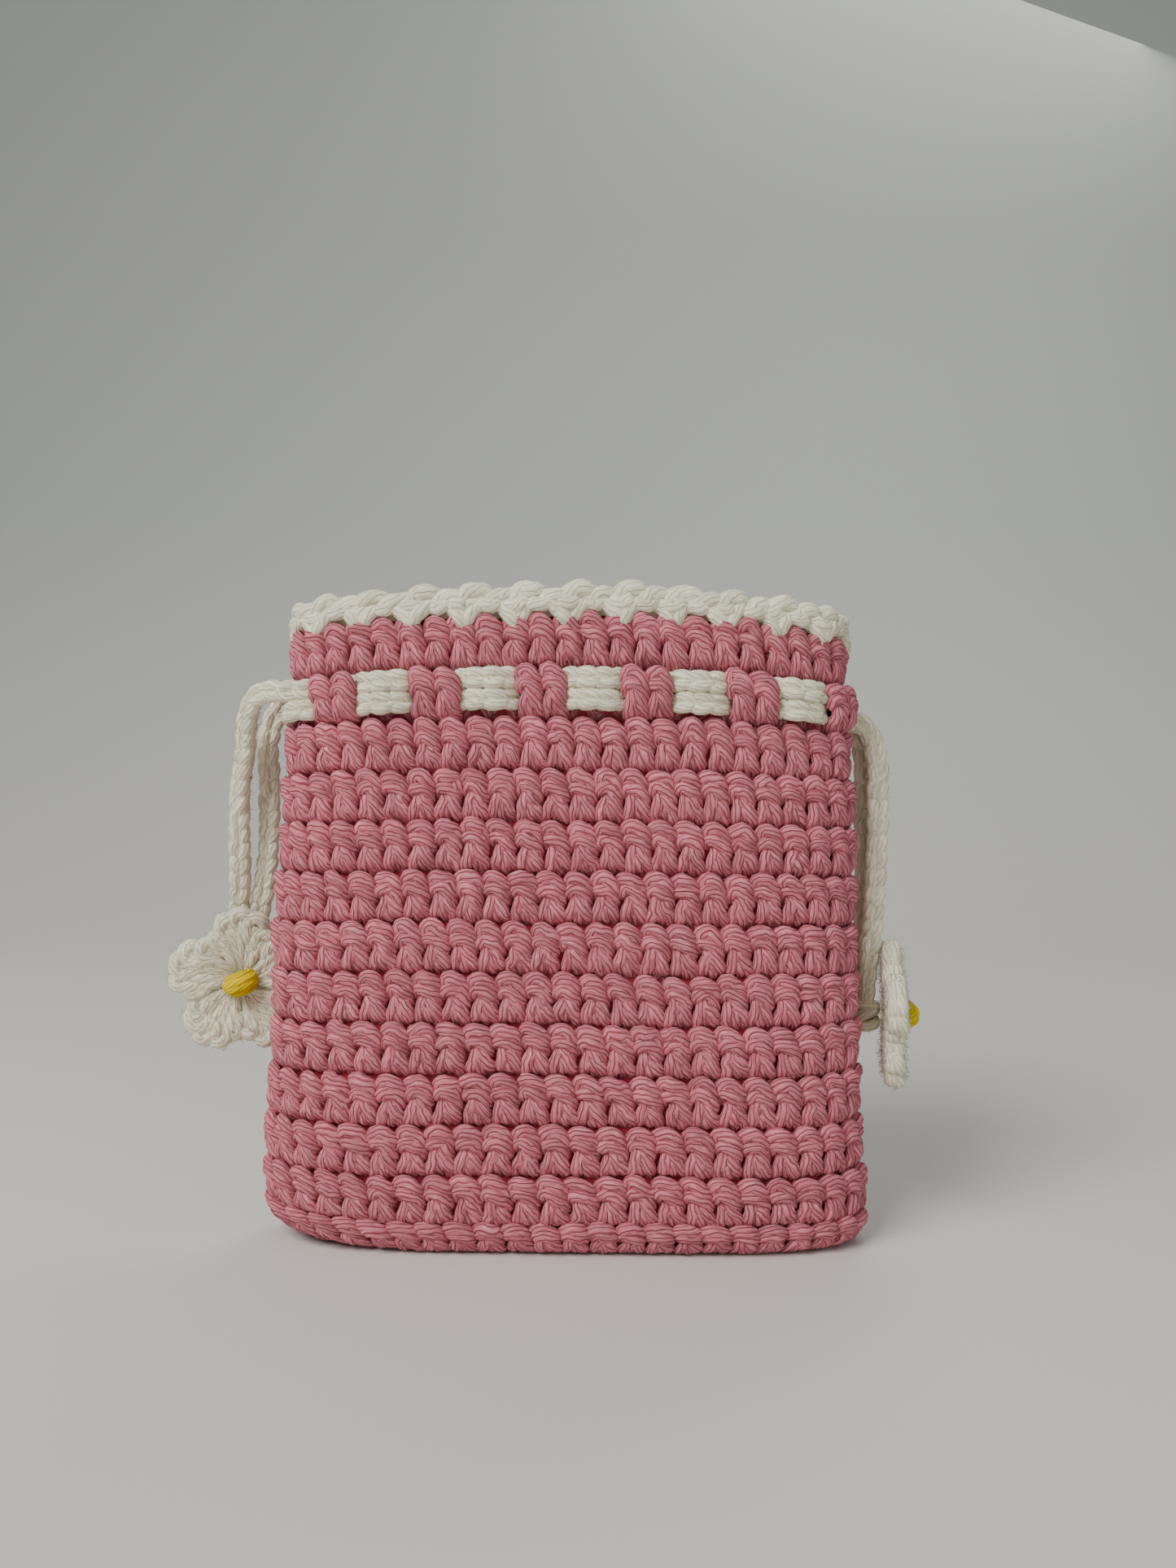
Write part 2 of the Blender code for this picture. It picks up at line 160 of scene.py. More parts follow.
def half_width(height):
    rest = np.clip(1.0 - height / CURL_HEIGHT, 0.0, None)
    taper = (LOW_HALF_WIDTH - TOP_HALF_WIDTH) * (1.0 - height / BODY_HEIGHT)
    return TOP_HALF_WIDTH + taper - CURL_INSET * rest * rest


def half_depth(height):
    rest = np.clip(1.0 - height / CURL_HEIGHT, 0.0, None)
    bulge = BELLY * np.exp(-(((height - BELLY_HEIGHT) / BELLY_SPREAD) ** 2))
    return TOP_HALF_DEPTH + bulge - CURL_INSET * rest * rest


def rise(x, height):
    middle = np.clip(1.0 - (x / half_width(height)) ** 2, 0.0, None)
    return CROWN * (height / BODY_HEIGHT) ** 2 * middle


OUTLINE_HEIGHTS = np.linspace(0.0, 118.0, 60)
OUTLINE_SHARES = 1440


def outline_table():
    """x, y and the outward normal round the bag, at each height and share of the way."""
    angles = np.linspace(0.0, 2.0 * math.pi, OUTLINE_SHARES + 1)
    shares = np.arange(OUTLINE_SHARES + 1) / OUTLINE_SHARES
    rows = []
    blunted = np.sign(np.sin(angles)) * np.abs(np.sin(angles)) ** (2 / END_BLUNTNESS)
    for height in OUTLINE_HEIGHTS:
        x = half_width(height) * blunted
        y = -half_depth(height) * np.cos(angles)
        steps = np.hypot(np.diff(x), np.diff(y))
        travelled = np.concatenate([[0.0], np.cumsum(steps)]) / steps.sum()
        nearby = 0.002
        here, ahead, behind = (
            np.stack([np.interp(s, travelled, c) for c in (x, y)], axis=-1)
            for s in (shares, (shares + nearby) % 1.0, (shares - nearby) % 1.0)
        )
        along = ahead - behind
        along /= np.linalg.norm(along, axis=-1, keepdims=True)
        rows.append(np.concatenate([here, along[:, 1:], -along[:, :1]], axis=-1))
    return np.stack(rows)


OUTLINE = outline_table()


def on_wall(share, height, offset):
    """Points of the bag's wall, offset outwards from its outside."""
    s = (np.asarray(share) % 1.0) * OUTLINE_SHARES
    h = np.clip(height / OUTLINE_HEIGHTS[-1], 0.0, 0.9999) * (len(OUTLINE_HEIGHTS) - 1)
    s0 = np.minimum(s.astype(int), OUTLINE_SHARES - 1)
    h0 = h.astype(int)
    fs, fh = (s - s0)[..., None], (h - h0)[..., None]
    low = OUTLINE[h0, s0] * (1 - fs) + OUTLINE[h0, s0 + 1] * fs
    high = OUTLINE[h0 + 1, s0] * (1 - fs) + OUTLINE[h0 + 1, s0 + 1] * fs
    found = low * (1 - fh) + high * fh
    x = found[..., 0] + found[..., 2] * offset
    y = found[..., 1] + found[..., 3] * offset
    return np.stack([x, y, height + rise(found[..., 0], height)], axis=-1)


def wall_map(points):
    """(stitches round, height, out) to the row frame, with the slow unevenness of handwork."""
    turn = 2.0 * math.pi * points[..., 0] / STITCHES
    height = points[..., 1]
    lift = 0.16 * np.sin(3 * turn + 0.05 * height + 1.0) + 0.12 * np.sin(7 * turn - 0.11 * height)
    puff = 0.20 * np.sin(4 * turn + 0.09 * height + 2.0) + 0.14 * np.sin(9 * turn + 0.17 * height)
    fade = np.clip(height / 12.0, 0.0, 1.0)
    out = points[..., 2] + puff * fade - 0.1
    found = on_wall(points[..., 0] / STITCHES, height + lift * fade, out)
    # The lower left corner of the bag is lifted off the floor a little
    lowness = np.clip(1.0 - height / 24.0, 0.0, 1.0) ** 2
    leftness = np.clip((-found[..., 0] - 20.0) / 34.0, 0.0, 1.0) ** 2
    found[..., 0] += 1.8 * (lowness * leftness)
    found[..., 2] += 3.0 * (lowness * leftness)
    found[..., 2] = np.maximum(found[..., 2], FLOOR_LEVEL)
    return found


def weave(place):
    """1 where a cord passes in front of the wall's middle, and -1 where it passes behind."""
    turn = 2.0 * math.pi * (place - WINDOW_PHASE)
    sharpness = 1.4
    return np.tanh(sharpness * np.cos(turn)) / math.tanh(sharpness)


def weave_point(place, level):
    """Points of a cord in the weave, at places counted in windows."""
    place = np.asarray(place, float)
    offset = WEAVE * weave(place) - WALL / 2
    flat = on_wall(place / WINDOWS, np.full_like(place, CORD_LEVEL), offset)
    flat[..., 2] = level + rise(flat[..., 0], level)
    return flat


def side_point(side, level, route_point):
    """A route's (out, y, up) in the row frame, for the side -1 or 1."""
    out, y, up = route_point
    reach = half_width(CORD_LEVEL) - WALL / 2 + WEAVE
    return np.array([side * (reach + out), y, level + up])


# ---------------------------------------------------------------- strands

def spline_weights(count, samples):
    """Weights that turn count control points into samples points of a smooth curve."""
    weights = np.zeros((samples, count))
    for row, place in enumerate(np.linspace(0.0, count - 1, samples)):
        k = min(int(place), count - 2)
        t = place - k
        parts = ((2 * t * t - t - t ** 3) / 2, (2 - 5 * t * t + 3 * t ** 3) / 2,
                 (t + 4 * t * t - 3 * t ** 3) / 2, (t ** 3 - t * t) / 2)
        for step, part in zip((-1, 0, 1, 2), parts):
            at = k + step
            if at < 0:
                weights[row, 0] += 2 * part
                weights[row, 1] -= part
            elif at > count - 1:
                weights[row, count - 1] += 2 * part
                weights[row, count - 2] -= part
            else:
                weights[row, at] += part
    return weights


def unit(vectors):
    return vectors / np.maximum(np.linalg.norm(vectors, axis=-1, keepdims=True), 1e-9)


def frames_along(lines, first):
    """Tangents and two cross directions that don't twist, along each line of a batch."""
    tangents = unit(np.gradient(lines, axis=1))
    normal = first - np.sum(first * tangents[:, 0], axis=-1, keepdims=True) * tangents[:, 0]
    normals = [unit(normal)]
    for k in range(1, lines.shape[1]):
        normal = normals[-1]
        normal = normal - np.sum(normal * tangents[:, k], axis=-1, keepdims=True) * tangents[:, k]
        normals.append(unit(normal))
    normals = np.stack(normals, axis=1)
    return tangents, normals, np.cross(tangents, normals)


class Knit:
    """Gathers swept yarn, and makes one mesh of it."""

    def __init__(self, name, seed):
        self.name = name
        self.rng = np.random.default_rng(SEED + seed)
        self.points = []
        self.quads = []
        self.yarn = []
        self.slots = []
        self.skin = []
        self.count = 0

    def sweep(self, lines, radius, mapping=None, around=AROUND, flat=1.0, slot=0, keep_skin=False):
        """Sweeps round yarn along each line of a batch (strands, points, 3)."""
        lines = np.asarray(lines, float)
        strands, steps = lines.shape[:2]
        first = np.broadcast_to(unit(np.array([0.3, 0.2, 1.0])), (strands, 3))
        _, normals, sides = frames_along(lines, first)
        turn = 2.0 * math.pi * np.arange(around) / around
        width = np.broadcast_to(np.asarray(radius, float), (strands, steps))[..., None, None]
        ring = normals[:, :, None] * np.cos(turn)[:, None] + sides[:, :, None] * np.sin(turn)[:, None]
        spread = ring * width
        spread[..., 2] *= flat
        points = lines[:, :, None] + spread
        if mapping is not None:
            points = mapping(points)
        middle = points.mean(axis=2)
        if keep_skin:
            outward = points - middle[:, :, None]
            self.skin.append((points[:, 1:-1].reshape(-1, 3), outward[:, 1:-1].reshape(-1, 3)))
        length = np.linalg.norm(np.diff(middle, axis=1), axis=-1)
        travelled = np.concatenate([np.zeros((strands, 1)), np.cumsum(length, axis=1)], axis=1)
        travelled += self.rng.uniform(0.0, 40.0, (strands, 1))
        tone = self.rng.uniform(0.0, 1.0, (strands, 1, 1))
        index = np.arange(strands * steps * around).reshape(strands, steps, around) + self.count
        beside = np.roll(index, -1, axis=2)
        quads = np.stack([index[:, :-1], beside[:, :-1], beside[:, 1:], index[:, 1:]], axis=-1)
        share = np.arange(around) / around
        left, right = share, share + 1.0 / around
        corner = np.empty(quads.shape + (3,))
        for place, (share_here, row) in enumerate(((left, 0), (right, 0), (right, 1), (left, 1))):
            corner[..., place, 0] = share_here
            corner[..., place, 1] = travelled[:, row:steps - 1 + row, None]
            corner[..., place, 2] = tone
        self.add(points.reshape(-1, 3), quads.reshape(-1, 4), corner.reshape(-1, 3), slot)

    def fuzz(self, count, length, radius):
        """Loose fibres that stand out from the yarn's skin."""
        points = np.concatenate([a for a, _ in self.skin])
        outward = unit(np.concatenate([b for _, b in self.skin]))
        chosen = self.rng.choice(len(points), count, replace=False)
        start, out = points[chosen], outward[chosen]
        reach = length * self.rng.uniform(0.4, 1.0, (count, 1))
        lean = unit(out + 0.7 * self.rng.normal(0.0, 1.0, out.shape))
        bend = unit(lean + 0.9 * self.rng.normal(0.0, 1.0, out.shape))
        lines = [start - 0.2 * out, start + lean * reach * 0.4,
                 start + (lean * 0.7 + bend * 0.3) * reach * 0.75,
                 start + (lean * 0.5 + bend * 0.5) * reach]
        self.sweep(np.stack(lines, axis=1), np.array([[1.0, 0.9, 0.7, 0.25]]) * radius, None, 3)

    def grid(self, points, slot, closed=False):
        """A sheet through a grid of points (rows, columns, 3), already in the row frame."""
        rows, columns = points.shape[:2]
        index = np.arange(rows * columns).reshape(rows, columns) + self.count
        beside = np.roll(index, -1, axis=1)
        quads = np.stack([index[:-1], beside[:-1], beside[1:], index[1:]], axis=-1)
        if not closed:
            quads = quads[:, :-1]
        quads = quads.reshape(-1, 4)
        corner = np.tile(np.array([0.3, 5.0, 0.5]), (len(quads) * 4, 1))
        self.add(points.reshape(-1, 3), quads, corner, slot)

    def add(self, points, quads, corner, slot):
        self.points.append(points)
        self.quads.append(quads)
        self.yarn.append(corner)
        self.slots.append(np.full(len(quads), slot))
        self.count += len(points)

    def make(self, materials):
        """The mesh object. Its corner attribute holds (share round, mm along, tone) for the yarn."""
        points = np.concatenate(self.points) * 0.001
        quads = np.concatenate(self.quads)
        mesh = bpy.data.meshes.new(self.name)
        mesh.vertices.add(len(points))
        mesh.vertices.foreach_set("co", points.astype(np.float32).ravel())
        mesh.loops.add(quads.size)
        mesh.loops.foreach_set("vertex_index", quads.astype(np.int32).ravel())
        mesh.polygons.add(len(quads))
        mesh.polygons.foreach_set("loop_start", np.arange(0, quads.size, 4, dtype=np.int32))
        mesh.polygons.foreach_set("material_index", np.concatenate(self.slots).astype(np.int32))
        mesh.update(calc_edges=True)
        mesh.shade_smooth()
        yarn = mesh.attributes.new("yarn", "FLOAT_VECTOR", "CORNER")
        yarn.data.foreach_set("vector", np.concatenate(self.yarn).astype(np.float32).ravel())
        for material in materials:
            mesh.materials.append(material)
        obj = bpy.data.objects.new(self.name, mesh)
        bpy.context.scene.collection.objects.link(obj)
        return obj


# ---------------------------------------------------------------- materials

PLIES = 8
PLY_TURN = 19.0


class Nodes:
    """Short calls for building a node tree."""

    def __init__(self, name):
        self.material = bpy.data.materials.new(name)
        self.material.use_nodes = True
        self.tree = self.material.node_tree
        self.shader = self.tree.nodes["Principled BSDF"]

    def new(self, kind, **settings):
        node = self.tree.nodes.new(kind)
        for key, value in settings.items():
            setattr(node, key, value)
        return node

    def link(self, source, target):
        self.tree.links.new(source, target)

    def put(self, value, socket):
        if isinstance(value, bpy.types.NodeSocket):
            self.link(value, socket)
        else:
            socket.default_value = value

    def math(self, operation, a, b=0.0, clamp=False):
        node = self.new("ShaderNodeMath", operation=operation, use_clamp=clamp)
        self.put(a, node.inputs[0])
        self.put(b, node.inputs[1])
        return node.outputs[0]

    def mix(self, share, a, b, blend="MIX"):
        node = self.new("ShaderNodeMix", data_type="RGBA", blend_type=blend)
        self.put(share, node.inputs[0])
        self.put(a, node.inputs[6])
        self.put(b, node.inputs[7])
        return node.outputs[2]

    def noise(self, vector, scale, detail=2.0, roughness=0.5):
        node = self.new("ShaderNodeTexNoise")
        self.link(vector, node.inputs["Vector"])
        node.inputs["Scale"].default_value = scale
        node.inputs["Detail"].default_value = detail
        node.inputs["Roughness"].default_value = roughness
        return node.outputs["Fac"]

    def combine(self, x, y, z):
        node = self.new("ShaderNodeCombineXYZ")
        for value, socket in zip((x, y, z), node.inputs):
            self.put(value, socket)
        return node.outputs[0]


def yarn_material(name, light, painted_shade_colour, pale, sheen, bump):
    """Plied yarn: round plies with grooves between them, fine fibres along each ply, and
    colour that differs a little from strand to strand. The second colour is painted shade in the
    grooves between plies and in the low places between fibres; the third is painted highlight
    on the raised fibres, and also the sheen tint."""
    n = Nodes(name)
    yarn = n.new("ShaderNodeAttribute", attribute_name="yarn").outputs["Vector"]
    split = n.new("ShaderNodeSeparateXYZ")
    n.link(yarn, split.inputs[0])
    share, travelled, tone = split.outputs
    turns = n.math("MULTIPLY", travelled, PLIES / PLY_TURN)
    wobble_place = n.combine(n.math("MULTIPLY", share, 2.0), n.math("MULTIPLY", travelled, 0.30),
                             n.math("MULTIPLY", tone, 13.0))
    wobble = n.math("MULTIPLY", n.noise(wobble_place, 1.0, 2.0, 0.6), 2.2)
    ply = n.math("ADD", n.math("MULTIPLY", share, float(PLIES)), n.math("ADD", turns, wobble))
    across = n.math("SUBTRACT", n.math("MULTIPLY", n.math("FRACT", ply), 2.0), 1.0)
    square = n.math("MULTIPLY", across, across)
    steep = n.math("MULTIPLY", square, square)
    fibre_place = n.combine(n.math("MULTIPLY", ply, 5.0), n.math("MULTIPLY", travelled, 0.40),
                            n.math("MULTIPLY", tone, 30.0))
    fibres = n.noise(fibre_place, 1.0, 3.0, 0.6)
    clump_place = n.combine(n.math("MULTIPLY", share, 3.0), n.math("MULTIPLY", travelled, 0.5),
                            n.math("MULTIPLY", tone, 17.0))
    clumps = n.noise(clump_place, 1.0, 2.0, 0.5)
    height = n.math("SUBTRACT", n.math("MULTIPLY", fibres, 0.8), n.math("MULTIPLY", steep, 0.65))
    height = n.math("ADD", height, n.math("MULTIPLY", clumps, 0.5))
    # Painted shade: the colour turns to the shade colour in the low places between fibres and in the
    # grooves between plies.
    painted_fibre_shade = n.math("SUBTRACT", 1.0, n.math("MULTIPLY", n.math("SUBTRACT", fibres, 0.28), 4.5), clamp=True)
    painted_groove_shade = n.math("MAXIMUM", n.math("MULTIPLY", steep, 0.85), n.math("MULTIPLY", painted_fibre_shade, 0.8))
    colour = n.mix(painted_groove_shade, (*light, 1.0), (*painted_shade_colour, 1.0))
    # Painted highlight: the pale colour on the raised fibres.
    painted_highlight = n.math("MULTIPLY", n.math("SUBTRACT", fibres, 0.56), 5.0, clamp=True)
    colour = n.mix(n.math("MULTIPLY", painted_highlight, 0.75), colour, (*pale, 1.0))
    fade = n.math("ADD", 0.86, n.math("MULTIPLY", tone, 0.18))
    shade = n.math("MULTIPLY", fade, n.math("ADD", 0.88, n.math("MULTIPLY", clumps, 0.24)))
    colour = n.mix(1.0, colour, n.combine(shade, shade, shade), "MULTIPLY")
    n.link(colour, n.shader.inputs["Base Color"])
    rough = n.math("ADD", 0.62, n.math("MULTIPLY", fibres, 0.35))
    n.link(rough, n.shader.inputs["Roughness"])
    relief = n.new("ShaderNodeBump")
    relief.inputs["Strength"].default_value = bump
    relief.inputs["Distance"].default_value = 0.0006
    n.link(height, relief.inputs["Height"])
    n.link(relief.outputs[0], n.shader.inputs["Normal"])
    n.shader.inputs["Sheen Weight"].default_value = sheen
    n.shader.inputs["Sheen Roughness"].default_value = 0.45
    n.shader.inputs["Sheen Tint"].default_value = (*pale, 1.0)
    n.shader.inputs["Specular IOR Level"].default_value = 0.15
    n.material.diffuse_color = (*light, 1.0)
    return n.material


# Each yarn's own colour, then its painted shade colour, then its painted highlight colour, which is also
# its sheen tint.
pink_yarn = yarn_material(
    "pink_yarn", (0.83, 0.255, 0.325), (0.34, 0.030, 0.055), (1.0, 0.60, 0.64), 0.08, 1.0)
# Painted shade: a darker copy of the pink yarn, for the bands and sheets seen between stitches.
pink_core_shade = yarn_material(
    "pink_core_shade", (0.42, 0.045, 0.075), (0.28, 0.02, 0.04), (0.46, 0.06, 0.09), 0.0, 0.6)
white_yarn = yarn_material(
    "white_yarn", (0.95, 0.905, 0.70), (0.78, 0.71, 0.50), (0.98, 0.96, 0.86), 0.12, 0.7)
# Painted shade: a darker copy of the white yarn, for the band and cord insides seen between stitches.
white_core_shade = yarn_material(
    "white_core_shade", (0.80, 0.75, 0.56), (0.68, 0.61, 0.42), (0.84, 0.80, 0.62), 0.0, 0.5)
yellow_yarn = yarn_material(
    "yellow_yarn", (1.0, 0.74, 0.0), (0.76, 0.42, 0.0), (1.0, 0.84, 0.0), 0.0, 0.8)


# ---------------------------------------------------------------- crochet stitches

# Each strand of a double crochet, as (share of the stitch, share of the height, out in mm)
CAP = [(0.05, 0.64, -2.4), (0.09, 0.76, -1.35), (0.26, 0.85, -0.55), (0.52, 0.83, -0.32),
       (0.78, 0.73, -0.62), (0.91, 0.60, -1.30), (0.88, 0.48, -2.6)]
WRAP = [(0.07, 0.48, -2.3), (0.13, 0.58, -1.20), (0.32, 0.64, -0.50), (0.58, 0.58, -0.38),
        (0.80, 0.46, -0.85), (0.88, 0.35, -1.70), (0.84, 0.27, -2.6)]
RIGHT_LEG = [(0.50, 0.54, -1.4), (0.60, 0.41, -0.78), (0.73, 0.27, -0.66), (0.84, 0.14, -1.00),
             (0.90, 0.05, -1.75), (0.90, -0.02, -2.6)]
LEG = [(0.47, 0.50, -1.5), (0.37, 0.37, -0.88), (0.25, 0.23, -0.74), (0.15, 0.12, -1.05),
       (0.09, 0.04, -1.80), (0.09, -0.02, -2.6)]
FILLER = [(0.48, 0.48, -1.5), (0.49, 0.33, -1.02), (0.50, 0.18, -0.92), (0.51, 0.07, -1.35),
          (0.51, 0.0, -2.4)]
INNER_WRAP = [(0.05, 0.92, -2.2), (0.25, 0.84, -2.75), (0.55, 0.72, -2.8), (0.74, 0.50, -2.75),
              (0.76, 0.22, -2.75), (0.70, 0.02, -2.2)]
INNER_LEG = [(0.95, 0.62, -2.3), (0.60, 0.50, -2.6), (0.30, 0.36, -2.8), (0.24, 0.14, -2.75),
             (0.25, 0.0, -2.2)]
INNER_BAR = [(-0.15, 0.97, -2.4), (0.3, 1.0, -3.0), (0.7, 0.97, -3.0), (1.15, 0.99, -2.4)]

# Each strand's (template, radius, samples), in the order that they are worked
OUTER_STRANDS = [(CAP, 1.20, 14), (WRAP, 1.16, 13), (RIGHT_LEG, 1.10, 11), (LEG, 1.10, 10),
                 (FILLER, 1.05, 8)]
CORD_STRANDS = [(CAP, 1.05, 12), (WRAP, 1.05, 12), (RIGHT_LEG, 1.0, 9), (LEG, 1.0, 9)]
BASE_STRANDS = [(CAP, 1.0), (WRAP, 0.98), (RIGHT_LEG, 0.95), (LEG, 0.95)]
INNER_STRANDS = [(INNER_WRAP, 1.05), (INNER_LEG, 1.0), (INNER_BAR, 0.85)]
COLUMN_WIDTH = 0.86


def round_lines(knit, template, stitches, low, height, samples, jitter, lean, push=None, narrow=1.0):
    """The lines of one kind of strand for the given stitches of a round."""
    control = np.array(template, float)
    stitches = np.asarray(stitches, float)
    many = np.repeat(control[None], len(stitches), axis=0)
    noise = knit.rng.normal(0.0, 1.0, many.shape)
    many += noise * np.array([0.026, 0.020, 0.13]) * jitter
    many[..., 0] = 0.5 + (many[..., 0] - 0.5) * narrow
    many[..., 0] += lean[:, None] * (many[..., 1] - 0.5)
    if push is not None:
        many[..., 2] += push(stitches, many[..., 1])
    lines = np.einsum("sc,bcd->bsd", spline_weights(len(control), samples), many)
    lines[..., 0] += stitches[:, None]
    lines[..., 1] = low + lines[..., 1] * height
    return lines


def stitch_lean(knit, stitches, amount):
    """How far each stitch's top leans along the round, in stitches over its height."""
    slow = np.sin(2 * math.pi * stitches / STITCHES * 3 + knit.rng.uniform(0, 6))
    return -0.14 + amount * slow + knit.rng.normal(0.0, 0.09, len(stitches))


def sweep_on_wall(knit, lines, radius, around=AROUND, flat=0.92, slot=0, keep_skin=False):
    """Sweeps in millimetres along the wall, then maps the result on to the bag."""
    scaled = lines.copy()
    scaled[..., 0] *= STITCH_PITCH

    def back(points):
        points = points.copy()
        points[..., 0] /= STITCH_PITCH
        return wall_map(points)

    knit.sweep(scaled, radius, back, around, flat, slot, keep_skin)


def core_shade_band(knit, low, high, offset=CORE_DEPTH):
    """A band inside a round, seen only between its stitches: it stands for the yarn further in, and its
    darker colour is painted shade between the stitches.
    """
    columns = 4 * STITCHES
    shares = np.arange(columns) * STITCHES / columns
    rows = [np.stack([shares, np.full(columns, z), np.full(columns, offset)], axis=-1)
            for z in np.linspace(low, high, 4)]
    knit.grid(wall_map(np.stack(rows)), 1, closed=True)


def outer_stitches(knit, stitches, low, height, shift, push=None, squeeze=1.0):
    """The front of each stitch; squeeze draws the two posts between windows together."""
    stitches = np.asarray(stitches, float)
    lean = stitch_lean(knit, stitches, 0.06)
    placed = stitches + shift
    for template, radius, samples in OUTER_STRANDS:
        lines = round_lines(knit, template, placed, low, height, samples, 1.0, lean, push,
                            COLUMN_WIDTH)
        if squeeze < 1.0:
            centre = 4.0 * np.floor(stitches / 4.0)[:, None] + 3.0
            lines[..., 0] = centre + (lines[..., 0] - centre) * squeeze
        width = radius * (1.0 + knit.rng.normal(0.0, 0.05, (len(stitches), 1)))
        sweep_on_wall(knit, lines, width, keep_skin=True)


def inner_stitches(knit, stitches, low, height, shift):
    """The back of each stitch, which shows inside the bag."""
    stitches = np.asarray(stitches, float)
    lean = stitch_lean(knit, stitches, 0.04)
    for template, radius in INNER_STRANDS:
        lines = round_lines(knit, template, stitches + shift, low, height, 9, 1.0, lean)
        sweep_on_wall(knit, lines, radius, around=8)


def plain_round(name, number, low, height, lowest=None):
    """A whole round. The lowest one starts clear of the floor, at the height given."""
    knit = Knit(name, number)
    stitches = np.arange(STITCHES)
    shift = knit.rng.uniform(-0.12, 0.12) + 0.13 * number
    if lowest is not None:
        low, height = lowest, height - (lowest - low)
    outer_stitches(knit, stitches, low, height, shift)
    inner_stitches(knit, stitches, low, height, shift)
    core_shade_band(knit, low - 0.8 if lowest is None else low + 0.2, low + height + 0.4)
    knit.fuzz(420, 1.7, 0.030)
    return knit.make([pink_yarn, pink_core_shade])


def swell(amount):
    """How posts stand out, or in, where they pass over the drawstrings."""
    return lambda stitches, up: amount * np.sin(np.pi * np.clip(up, 0.0, 1.0)) ** 0.7


FRONT_POST_SWELL = 1.75
BACK_POST_SWELL = -2.755


def cord_round():
    """The round of posts, two in front of the drawstrings and two behind them in turn."""
    knit = Knit("cord_round_yarn", 40)
    stitches = np.arange(STITCHES)
    outside = stitches[(stitches % 4) >= 2]
    inside = stitches[(stitches % 4) < 2]
    outer_stitches(knit, outside, CORD_ROUND_LOW, ROUND_HEIGHT, 0.0, swell(FRONT_POST_SWELL),
                   squeeze=0.90)
    knit.fuzz(260, 1.7, 0.030)
    lean = stitch_lean(knit, inside, 0.04)
    for template, radius, samples in CORD_STRANDS:
        lines = round_lines(knit, template, inside, CORD_ROUND_LOW, ROUND_HEIGHT, samples, 1.0,
                            lean, swell(BACK_POST_SWELL))
        sweep_on_wall(knit, lines, radius, around=8)
    for low, high in ((-0.7, 0.9), (7.5, 8.9)):
        core_shade_band(knit, CORD_ROUND_LOW + low, CORD_ROUND_LOW + high)
    return knit.make([pink_yarn, pink_core_shade])


# ---------------------------------------------------------------- edging, base

EDGE_LOOP = [(-0.22, 0.14, -2.0), (-0.08, 0.34, -1.0), (0.18, 0.54, -0.70), (0.50, 0.60, -0.85),
             (0.82, 0.52, -1.4), (1.02, 0.28, -2.2)]
EDGE_BACK = [(-0.20, 0.10, -2.7), (0.10, 0.42, -3.1), (0.50, 0.58, -2.9), (0.85, 0.44, -2.4),
             (1.05, 0.15, -2.0)]
EDGE_POST_LEFT = [(-0.80, 0.36, -1.8), (-0.58, 0.22, -0.85), (-0.34, -0.02, -0.45),
                  (-0.12, -0.34, -0.45), (0.04, -0.58, -1.2)]
EDGE_POST_RIGHT = [(0.78, 0.36, -1.8), (0.56, 0.22, -0.85), (0.32, -0.02, -0.45),
                   (0.10, -0.34, -0.45), (-0.04, -0.58, -1.2)]
EDGE_CHAIN = [(-0.52, 0.10, -1.7), (-0.28, 0.20, -0.60), (0.0, 0.12, -0.35), (0.28, 0.22, -0.60),
              (0.52, 0.10, -1.7)]


def edging():
    """The white edge: a run of loops, with posts down into every second stitch."""
    knit = Knit("edging_yarn", 50)
    low = BODY_HEIGHT + 0.4
    height = 4.4
    stitches = np.arange(STITCHES, dtype=float)
    level = np.zeros(STITCHES)
    for template, radius in ((EDGE_LOOP, 1.50), (EDGE_BACK, 1.40)):
        lines = round_lines(knit, template, stitches, low, height, 12, 1.6, level)
        scallop = 0.30 * np.cos(math.pi * stitches) + knit.rng.normal(0.0, 0.22, STITCHES)
        lines[..., 1] += scallop[:, None]
        sweep_on_wall(knit, lines, radius, keep_skin=True)
    dips = stitches[::2]
    level = np.zeros(len(dips))
    between = round_lines(knit, EDGE_CHAIN, dips + 1.0, low, height, 11, 1.6, level)
    sweep_on_wall(knit, between, 1.25, keep_skin=True)
    for template, radius in ((EDGE_POST_LEFT, 1.36), (EDGE_POST_RIGHT, 1.36), (EDGE_CHAIN, 1.34)):
        lines = round_lines(knit, template, dips, low, height, 11, 1.6, level)
        sweep_on_wall(knit, lines, radius, keep_skin=True)
    knit.fuzz(1300, 1.3, 0.040)
    core_shade_band(knit, low - 1.2, low + 2.6, -1.45)
    return knit.make([white_yarn, white_core_shade])


def on_floor(points):
    """Yarn that rests on the floor is pressed flat there."""
    points = points.copy()
    points[..., 2] = np.maximum(points[..., 2], FLOOR_LEVEL)
    return points


